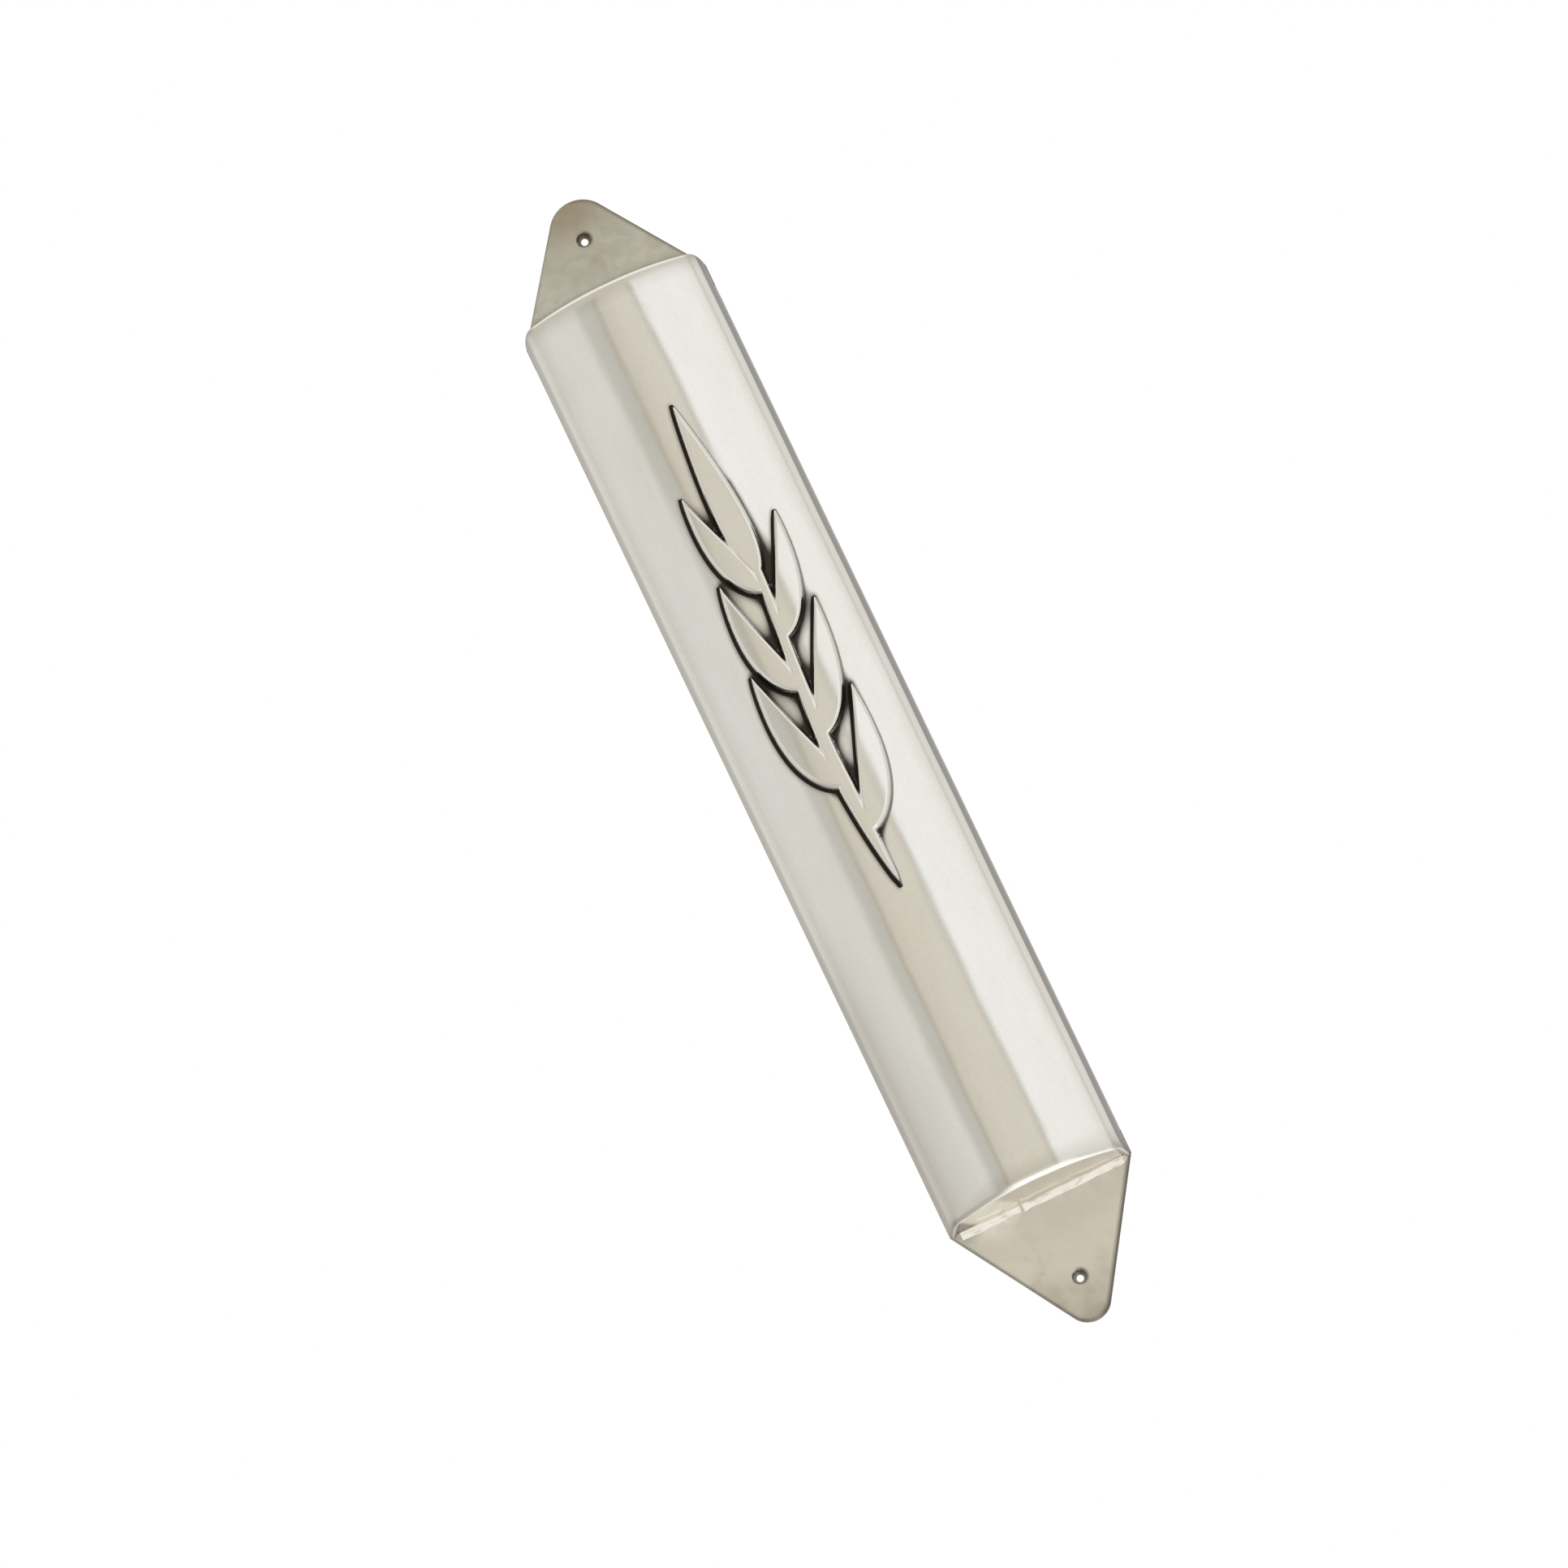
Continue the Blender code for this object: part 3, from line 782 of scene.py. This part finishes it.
# The sheet's loop carried round the outline: each point lies in along the normal by its offset, by
# the ripple, and near the ends by a roll that grows as a square. The last two fade to the inner face.
def makeCover():
    outline = wholeOutline()
    normal = outwardOf(outline)
    offset, height = sheetLoop()
    nearEnd = ramp(section["top"] - np.abs(height), cover["rollLength"], 0)
    roll = cover["rollDepth"] * ramp(-outline[:, 1:], *cover["rollForward"]) * nearEnd**2
    worn = (ripple(outline[:, :1], height[None, :]) + roll) * (1 - offset / section["sheet"])
    inward = offset[None, :] + worn
    points = np.empty((len(outline), len(offset), 3))
    points[:, :, 0] = outline[:, :1] - normal[:, :1] * inward
    points[:, :, 1] = outline[:, 1:] - normal[:, 1:] * inward
    points[:, :, 2] = height[None, :]
    flat = points.reshape(-1, 3)
    marks = coverMarks(flat, np.tile(offset, len(outline)) < cover["skin"])
    piece = addMesh("coverShell", flat, sweptFaces(*points.shape[:2]), coverSilver, marks, sharpDegrees=55)
    settle(piece, "case", "front_cover")


# Painted shade round the sprig and at the corners of both ends, and duller silver low on the left
# and along both ends. The bright rim round the lower end stays clear.
def coverMarks(points, onOutside):
    x, y, z = points.T
    oxide = np.zeros(len(points))
    near = (y < -section["shoulderDepth"]) & onOutside
    oxide[near] = outlineCrevice(x[near], z[near])
    lowLeft = ramp(z, *cover["dullDown"]) * ramp(x + 0.05 * z, *cover["dullLeft"])
    toEnd = section["top"] - np.abs(z)
    offRim = np.where(z > 0, 1.0, ramp(toEnd, *cover["rimRun"]))
    atEnd = ramp(toEnd, *cover["endRun"]) * offRim
    corner = ramp(np.abs(x), *cover["cornerAside"]) * ramp(toEnd, *cover["cornerRun"])
    dull = np.maximum(cover["dull"] * lowLeft, cover["endDull"] * atEnd)
    return {
        "oxide": np.maximum(oxide, cover["cornerShade"] * corner),
        "tarnish": np.maximum(dull, corner),
    }


# Painted shade round the sprig: a soft painted shade on its left, and full black painted shade in the
# forks, where the nearness to the outlines, e^(-distance/reach) of each, adds up.
def outlineCrevice(x, z):
    shade = ramp(sprigDepth(x + cover["shadeShift"], z), -cover["shadeReach"], 0) ** 1.5
    outside = [np.minimum(outlineDepth(x, z, outline), 0) for outline in outlines]
    nearness = sum(np.exp(distance / cover["forkReach"]) for distance in outside)
    fork = ramp(nearness, *cover["forkNearness"]) ** 1.3
    return np.maximum(shade * cover["shade"], fork * cover["fork"])


makeCover()
print("stage: cover made")


# End walls, one in each end of the cover

walls = {
    "clearance": 0.015 * mm,
    "inset": 0.06 * mm,
    "thick": 0.9 * mm,
    "edge": 0.14 * mm,
    "cell": 0.17 * mm,
    "bow": 0.05 * mm,
    "bowSpan": 22 * mm,
    # A painted reflection: its bright zone, a painted dark reflection at its left, then painted shade in
    # the corners and towards the crown
    "brightFrom": -9.3 * mm,
    "brightTo": -2.9 * mm,
    "brightSlant": 0.45,
    "brightEdge": 0.8 * mm,
    "scorch": 0.55,
    "darkReflectionRun": (-9.0 * mm, -9.6 * mm),
    "corner": 0.3,
    "cornerShadeWidth": 0.12 * mm,
    "dull": 0.92,
    "dullWidth": 1.7 * mm,
    "smoke": 0.09,
    "frontShadeForward": (-4.6 * mm, -6.6 * mm),
}


# The cover's outline drawn in by the sheet and a clearance, closed by a straight foot, and filled
# with a plate whose face bows out a little, as a cosine across it.
def makeWall(name, end, footY, node):
    outer = wholeOutline(12, 10, 30)
    inner = outer - outwardOf(outer) * (section["sheet"] + walls["clearance"])
    inner = inner[(inner[:, 1] <= footY)]
    feet = [[inner[-1, 0], footY], [inner[0, 0], footY]]
    outline = np.concatenate([inner, feet])
    lines = linesRound(outline, walls["cell"], 0.3 * mm)
    faceZ = section["top"] - walls["inset"] - walls["bow"]

    def depthAt(x, y):
        return outlineDepth(x, y, outline)

    def front(x, y, depth):
        bow = walls["bow"] * np.cos(np.pi * x / walls["bowSpan"])
        return x, y, end * (faceZ + bow - roundedDrop(depth, walls["edge"], walls["edge"]))

    def back(x, y, depth):
        return x, y, np.full(x.shape, end * (section["top"] - walls["thick"]))

    # A painted reflection: a slanting bright zone with a painted dark reflection beyond its left edge and
    # dull silver on either side, painted shade in the corners and a little painted shade towards the crown
    def marks(x, y, depth):
        slanted = x - walls["brightSlant"] * (y + 4 * mm)
        inBright = np.minimum(slanted - walls["brightFrom"], walls["brightTo"] - slanted)
        bright = ramp(inBright, 0, walls["brightEdge"])
        corner = walls["corner"] * ramp(depth, walls["cornerShadeWidth"], 0)
        scorch = walls["scorch"] * ramp(slanted, *walls["darkReflectionRun"])
        smoke = walls["smoke"] * ramp(y, *walls["frontShadeForward"]) * (1 - bright)
        dull = walls["dull"] + (1 - walls["dull"]) * ramp(depth, walls["dullWidth"], 0)
        oxide = np.maximum(np.maximum(corner, scorch), smoke)
        return {"oxide": oxide, "tarnish": dull * (1 - bright)}

    piece = cutSheet(name, depthAt, lines, front, back, wallSilver, marks, sharpDegrees=60)
    settle(piece, "case", node)


makeWall("lowerWallPlate", -1, section["foot"], "lower_end_wall")
makeWall("upperWallPlate", 1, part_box("upper_end_wall")[1].y, "upper_end_wall")
print("stage: end walls made")


# Nailing tabs

tabs = {
    "taperStart": 0.5 * mm,
    "overlap": 3.4 * mm,
    "holeRadius": 0.78 * mm,
    "holeTaper": 0.34 * mm,
    "taperReach": 0.5 * mm,
    "holeDark": 0.10 * mm,
    "edge": 0.30 * mm,
    "backEdge": 0.12 * mm,
    # Painted shade round the hole and along the edges, heavier on the right as a painted shadow, and a
    # painted shadow of the cover
    "edgeOxide": (0.6, 0.9),
    "edgeWidth": (0.27 * mm, 0.44 * mm),
    "cell": 0.13 * mm,
    "shadowReach": 0.306,
    "shadowFade": 0.5 * mm,
    "upper": {
        "side": 1, "reach": 14.1 * mm, "tip": 3.9 * mm, "hole": 5.2 * mm,
        "lean": 0.30 * mm, "dirt": 0.26, "holeShade": 0.8,
    },
    "lower": {
        "side": -1, "reach": 16.5 * mm, "tip": 2.8 * mm, "hole": 5.6 * mm,
        "lean": -0.28 * mm, "dirt": 0.0, "holeShade": 0.2,
    },
}


# Square under the cover, then straight edges that touch a round tip. The tip is cut a little to one
# side.
def tabOutline(tab, steps=30):
    halves = []
    shoulder = np.array([section["backHalfWidth"], section["top"] - tabs["taperStart"]])
    base = [[section["backHalfWidth"], section["top"] - tabs["overlap"]], shoulder]
    for hand in (1, -1):
        centre = np.array([hand * tab["lean"], section["top"] + tab["reach"] - tab["tip"]])
        away = shoulder - centre
        start = math.atan2(away[1], away[0]) + math.acos(tab["tip"] / np.linalg.norm(away))
        angle = np.linspace(start, np.pi / 2, steps)
        tip = centre + tab["tip"] * np.stack([np.cos(angle), np.sin(angle)], axis=1)
        halves.append(np.concatenate([base, tip]) * [hand, 1])
    whole = np.concatenate([halves[0], halves[1][-2::-1]])
    return whole * [1, tab["side"]]


# A flat plate, rounded off in front, with a punched hole that narrows to the back by
# taper e^(-distance/reach).
def makeTab(name, tab, material, node):
    outline = tabOutline(tab)
    thickness = tabHigh.y - tabLow.y
    crownEnd = section["crownHalfWidth"]
    holeZ = tab["side"] * (section["top"] + tab["reach"] - tab["hole"])
    lines = linesRound(outline, tabs["cell"], 2 * tabs["cell"])

    def holeDistance(x, z):
        return np.hypot(x, z - holeZ) - tabs["holeRadius"]

    def depthAt(x, z):
        return np.minimum(outlineDepth(x, z, outline), holeDistance(x, z))

    def front(x, z, depth):
        return x, -thickness + roundedDrop(depth, tabs["edge"], tabs["edge"]), z

    def back(x, z, depth):
        draw = tabs["holeTaper"] * np.exp(-np.maximum(holeDistance(x, z), 0) / tabs["taperReach"])
        away = np.maximum(np.hypot(x, z - holeZ), 0.1 * mm)
        y = -roundedDrop(depth, tabs["backEdge"], tabs["backEdge"])
        return x - draw * x / away, y, z - draw * (z - holeZ) / away

    # Painted shade round the hole and along the edges (more on the right, as a painted shadow), and a
    # painted shadow of the cover on the tab
    def marks(x, z, depth):
        rim = tab["holeShade"] * ramp(holeDistance(x, z), tabs["holeDark"], 0)
        edgeOxide, width = (np.interp(x, [-mm, mm], tabs[k]) for k in ("edgeOxide", "edgeWidth"))
        edge = edgeOxide * ramp(depth, 1.2 * width, 0.2 * width)
        # The painted shadow of the cover reaches out to a line that follows the crown's edge
        beyond = np.abs(z) - section["top"]
        reach = tabs["shadowReach"] * (-crownY(np.clip(x, -crownEnd, crownEnd)) - thickness)
        dirt = tab["dirt"] * ramp(beyond - reach, tabs["shadowFade"], 0)
        oxide = np.maximum(np.maximum(rim, edge), dirt)
        return {"oxide": oxide, "age": ramp(beyond, 0, tab["reach"])}

    piece = cutSheet(name, depthAt, lines, front, back, material, marks, sharpDegrees=60)
    settle(piece, "case", node)


makeTab("upperTabPlate", tabs["upper"], upperTabSilver, "upper_mounting_tab")
makeTab("lowerTabPlate", tabs["lower"], lowerTabSilver, "lower_mounting_tab")
print("stage: tabs made")


# Rails, guides, door and lip

bars = {
    "back_rail": {"name": "Rail", "round": 0.16 * mm, "spare": 0.28 * mm},
    "door_guide": {"name": "Guide", "round": 0.14 * mm, "spare": 0.0},
}
door = {"round": 0.22 * mm, "lipRound": 0.34 * mm, "lipOverlap": 0.02 * mm}

# Each rail runs on by its spare length at both ends, to meet the tabs
for hand in ("left", "right"):
    for kind, bar in bars.items():
        low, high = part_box(f"{hand}_{kind}")
        low.z -= bar["spare"]
        high.z += bar["spare"]
        piece = roundedBar(hand + bar["name"], low, high, bar["round"], railSilver)
        settle(piece, "case", f"{hand}_{kind}")

doorLow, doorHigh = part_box("back_door")
panel = roundedBar("doorPanel", doorLow, doorHigh, door["round"], doorSilver, stations=60)
settle(panel, "door", "back_door")
lipLow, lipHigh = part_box("door_lip")
lipHigh.y = doorLow.y + door["lipOverlap"]
lip = roundedBar("doorLip", lipLow, lipHigh, door["lipRound"], doorSilver, longAxis=0, steps=8)
settle(lip, "door", "door_lip")
print("stage: rails, guides and door made")


# Solder along the corner of the lower wall and the lower tab

bead = {
    "tabLeg": 1.0 * mm,
    "wallLeg": 0.85 * mm,
    "endGap": 0.6 * mm,
    "endRun": 0.7 * mm,
    "steps": 420,
    "arc": 12,
    "hollow": 0.72,
    "lump": 0.17 * mm,
    "waves": ((1.0, 1.9 * mm, 0), (0.6, 0.7 * mm, 1), (0.3, 0.33 * mm, 2)),
    "waveTop": 2.1,
    "blobX": -2.4 * mm,
    "blobHalfWidth": 0.4 * mm,
    "blob": 0.16 * mm,
    "intoWall": 0.10 * mm,
    "intoTab": 0.05 * mm,
}


# Across, a slightly hollow slope from wall to tab: (1 - sin)^hollow against (1 - cos)^hollow. Along,
# both legs vary in waves, with one blob, e^(-x^2), and the bead runs out to nothing at both ends.
def makeBead():
    half = section["backHalfWidth"] - bead["endGap"]
    x = np.linspace(-half, half, bead["steps"])
    waves = sum(share * np.sin(x / length + start) for share, length, start in bead["waves"])
    blob = bead["blob"] * np.exp(-(((x - bead["blobX"]) / bead["blobHalfWidth"]) ** 2))
    fade = np.clip((half - np.abs(x)) / bead["endRun"], 0.03, 1) ** 0.5
    leg = fade * (bead["tabLeg"] + bead["lump"] * (waves / bead["waveTop"] - 1) / 2 + blob)
    climb = fade * (bead["wallLeg"] + bead["lump"] * waves / 3 + blob)
    wallZ = -section["top"] + bead["intoWall"]
    tabY = tabLow.y + bead["intoTab"]
    turn = np.linspace(0, np.pi / 2, bead["arc"])
    out = np.append((1 - np.sin(turn)) ** bead["hollow"], 0)
    down = np.append((1 - np.cos(turn)) ** bead["hollow"], 0)
    points = np.empty((len(x), len(out), 3))
    points[:, :, 0] = x[:, None]
    points[:, :, 1] = tabY - climb[:, None] * out[None, :]
    points[:, :, 2] = wallZ - leg[:, None] * down[None, :]
    faceSets = sweptFaces(*points.shape[:2])
    piece = addMesh("lowerSolder", points.reshape(-1, 3), faceSets, brightSolder, sharpDegrees=50)
    settle(piece, "case", "lower_solder_seam")


makeBead()
print("stage: solder made")


# Parchment

rollLow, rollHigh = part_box("parchment_scroll")
roll = {
    "turns": 9,
    "perTurn": 44,
    "core": 0.75 * mm,
    "skin": 0.17 * mm,
    "stations": 10,
    "uneven": 0.30 * mm,
    "unevenFoot": 0.4,
    "wander": 0.37,
    "foot": 0.02 * mm,
}


# A spiral whose radius grows evenly with its turn. Each end's edge wanders a little, as a slow sine.
def makeRoll():
    steps = roll["turns"] * roll["perTurn"] + 1
    turn = np.linspace(0, 2 * np.pi * roll["turns"], steps)
    innerRadius = roll["core"] + roll["skin"]
    radius = innerRadius + (rollHigh.x - innerRadius) * turn / turn[-1]
    centreY = (rollLow.y + rollHigh.y) / 2
    share = np.linspace(0, 1, roll["stations"])
    wander = roll["uneven"] * (0.5 + 0.5 * np.sin(turn * roll["wander"] + 0.8))
    bottom = rollLow.z + roll["foot"] + roll["unevenFoot"] * wander
    top = rollHigh.z - wander
    heights = bottom[:, None] + (top - bottom)[:, None] * np.concatenate([share, share[::-1]])[None, :]
    depth = np.concatenate([np.zeros(len(share)), np.full(len(share), roll["skin"])])
    reach = radius[:, None] - depth[None, :]
    points = np.stack([
        reach * np.cos(turn)[:, None],
        centreY + reach * np.sin(turn)[:, None],
        heights,
    ], axis=2)
    faceSets = sweptFaces(*points.shape[:2])
    piece = addMesh("parchmentRoll", points.reshape(-1, 3), faceSets, creamParchment, sharpDegrees=50)
    settle(piece, "case", "parchment_scroll")


makeRoll()
print("stage: parchment made")


# Floor, light and camera

ground = {
    "radius": 12.0,
    "height": -1.65,
    "corners": 96,
    "grain": 0.4,
    "paint": ((0.90, 0.90, 0.89), (0.94, 0.94, 0.93)),
}


# A pale floor far below the case, as a wide disc.
def studioFloor():
    ring = np.linspace(0, 2 * np.pi, ground["corners"] + 1)[:-1]
    height = np.full(ground["corners"], ground["height"])
    points = np.stack([ground["radius"] * np.cos(ring), ground["radius"] * np.sin(ring), height], axis=1)
    mesh = bpy.data.meshes.new("floor")
    mesh.from_pydata(points.tolist(), [], [list(range(ground["corners"]))])
    floor = bpy.data.objects.new("floor", mesh)
    bpy.context.scene.collection.objects.link(floor)

    def build(graph):
        return {"Base Color": graph.mix(graph.noise(ground["grain"], detail=3.0), *ground["paint"])}

    mesh.materials.append(newMaterial("floorPaint", {"Roughness": 0.8}, build))
    floor.visible_glossy = False  # the silver is lit by the cards beneath instead
    floor.visible_diffuse = False


# Cards round the case by bearing: 0 is in front, 90 is its right side. Those above and beneath come
# in between two heights in degrees, and change between two values of x, from -1 left to 1 right.
studio = {
    "cards": (
        (-180, (0.50, 0.485, 0.45)), (-160, (0.47, 0.455, 0.415)), (-149, (0.61, 0.595, 0.555)),
        (-138, (0.70, 0.685, 0.645)), (-100, (0.67, 0.655, 0.62)),
        (-70, (0.62, 0.605, 0.57)), (-56, (0.70, 0.69, 0.655)), (-31, (0.70, 0.685, 0.65)),
        (-25, (0.555, 0.545, 0.50)), (-16, (0.535, 0.52, 0.47)),
        (-13.2, (0.46, 0.425, 0.355)), (-10.5, (0.62, 0.58, 0.50)), (0, (0.67, 0.63, 0.55)),
        (13, (0.68, 0.645, 0.56)), (16.5, (0.545, 0.525, 0.465)), (18.8, (0.80, 0.79, 0.76)),
        (21, (0.885, 0.88, 0.86)), (58, (0.87, 0.865, 0.83)),
        (76, (0.63, 0.61, 0.565)), (100, (0.74, 0.72, 0.68)), (141, (0.70, 0.68, 0.64)),
        (152, (0.31, 0.30, 0.295)), (164, (0.33, 0.325, 0.31)), (180, (0.50, 0.495, 0.48)),
    ),
    "aboveRise": (26, 40),
    "aboveAside": (0.1, 0.5),
    "aboveLeft": (0.67, 0.65, 0.58),
    "aboveRight": (0.76, 0.745, 0.68),
    "zenithRise": (46, 66),
    "zenith": (1.05, 1.035, 1.0),
    "belowDrop": (2, 24),
    "belowLeft": (0.52, 0.50, 0.45),
    "belowLeftEnd": (-0.42, -0.04),
    "belowMiddle": (1.12, 1.11, 1.08),
    "belowRightStart": (0.40, 0.62),
    "belowRight": (0.76, 0.745, 0.70),
    "backdrop": (1.0, 1.0, 1.0),
}


# Soft cards all round the case. The camera's own view of them is plain white.
def studioWorld():
    world = bpy.data.worlds.new("studio")
    bpy.context.scene.world = world
    world.use_nodes = True
    graph = Graph(world.node_tree)
    way = graph.node("ShaderNodeTexCoord")
    parts = graph.node("ShaderNodeSeparateXYZ", None, {0: way})
    x, y, z = (Socket(graph, parts.link.node.outputs[k]) for k in range(3))
    bearing = x.math("ARCTAN2", x, y * -1.0) / (2 * math.pi) + 0.5
    stops = [((degrees + 180) / 360, colour) for degrees, colour in studio["cards"]]
    around = graph.node("ShaderNodeValToRGB", {"stops": stops}, {"Fac": bearing})
    rise = z.math("ARCSINE", z, 0.0)
    overhead = graph.eased(rise, *np.radians(studio["aboveRise"]))
    zenith = graph.eased(rise, *np.radians(studio["zenithRise"]))
    beneath = graph.eased(rise * -1.0, *np.radians(studio["belowDrop"]))
    middle = graph.eased(x, *studio["belowLeftEnd"])
    below = graph.mix(middle, studio["belowLeft"], studio["belowMiddle"])
    below = graph.mix(graph.eased(x, *studio["belowRightStart"]), below, studio["belowRight"])
    above = graph.mix(graph.eased(x, *studio["aboveAside"]), studio["aboveLeft"], studio["aboveRight"])
    light = graph.mix(overhead, around, above)
    light = graph.mix(zenith, light, studio["zenith"])
    light = graph.mix(beneath, light, below)
    light = graph.mix(graph.node("ShaderNodeLightPath"), light, studio["backdrop"])
    background = graph.node("ShaderNodeBackground", None, {"Color": light, "Strength": 1.0})
    graph.node("ShaderNodeOutputWorld", None, {"Surface": background})


shot = {
    "lens": 600.0,
    "sensor": 36.0,
    "clip": (0.05, 50.0),
    "rise": math.radians(-17.0),
    "roll": math.radians(25.53),
    "frameWidth": 188.5 * mm,
    "target": (0.0, -0.6 * mm, -1.2 * mm),
    "aside": -5.66 * mm,
    "above": -3.21 * mm,
}


# Below the case's middle, looking up at it, and rolled so that its top leans to the left.
def studioCamera():
    data = bpy.data.cameras.new("camera")
    data.lens = shot["lens"]
    data.sensor_width = shot["sensor"]
    data.clip_start, data.clip_end = shot["clip"]
    camera = bpy.data.objects.new("camera", data)
    bpy.context.scene.collection.objects.link(camera)
    rise, lean = shot["rise"], shot["roll"]
    forward = Vector((0, math.cos(rise), -math.sin(rise)))
    right = Vector((1, 0, 0))
    up = right.cross(forward)
    rolledRight = right * math.cos(lean) - up * math.sin(lean)
    rolledUp = up * math.cos(lean) + right * math.sin(lean)
    distance = shot["frameWidth"] * shot["lens"] / shot["sensor"]
    centre = Vector(shot["target"]) + rolledRight * shot["aside"] + rolledUp * shot["above"]
    place = centre - forward * distance
    turned = Matrix((rolledRight, rolledUp, -forward)).transposed().to_4x4()
    camera.matrix_world = Matrix.Translation(place) @ turned
    bpy.context.scene.camera = camera


studioFloor()
studioWorld()
studioCamera()
bpy.context.scene.view_settings.view_transform = "Standard"
print("stage: studio made")
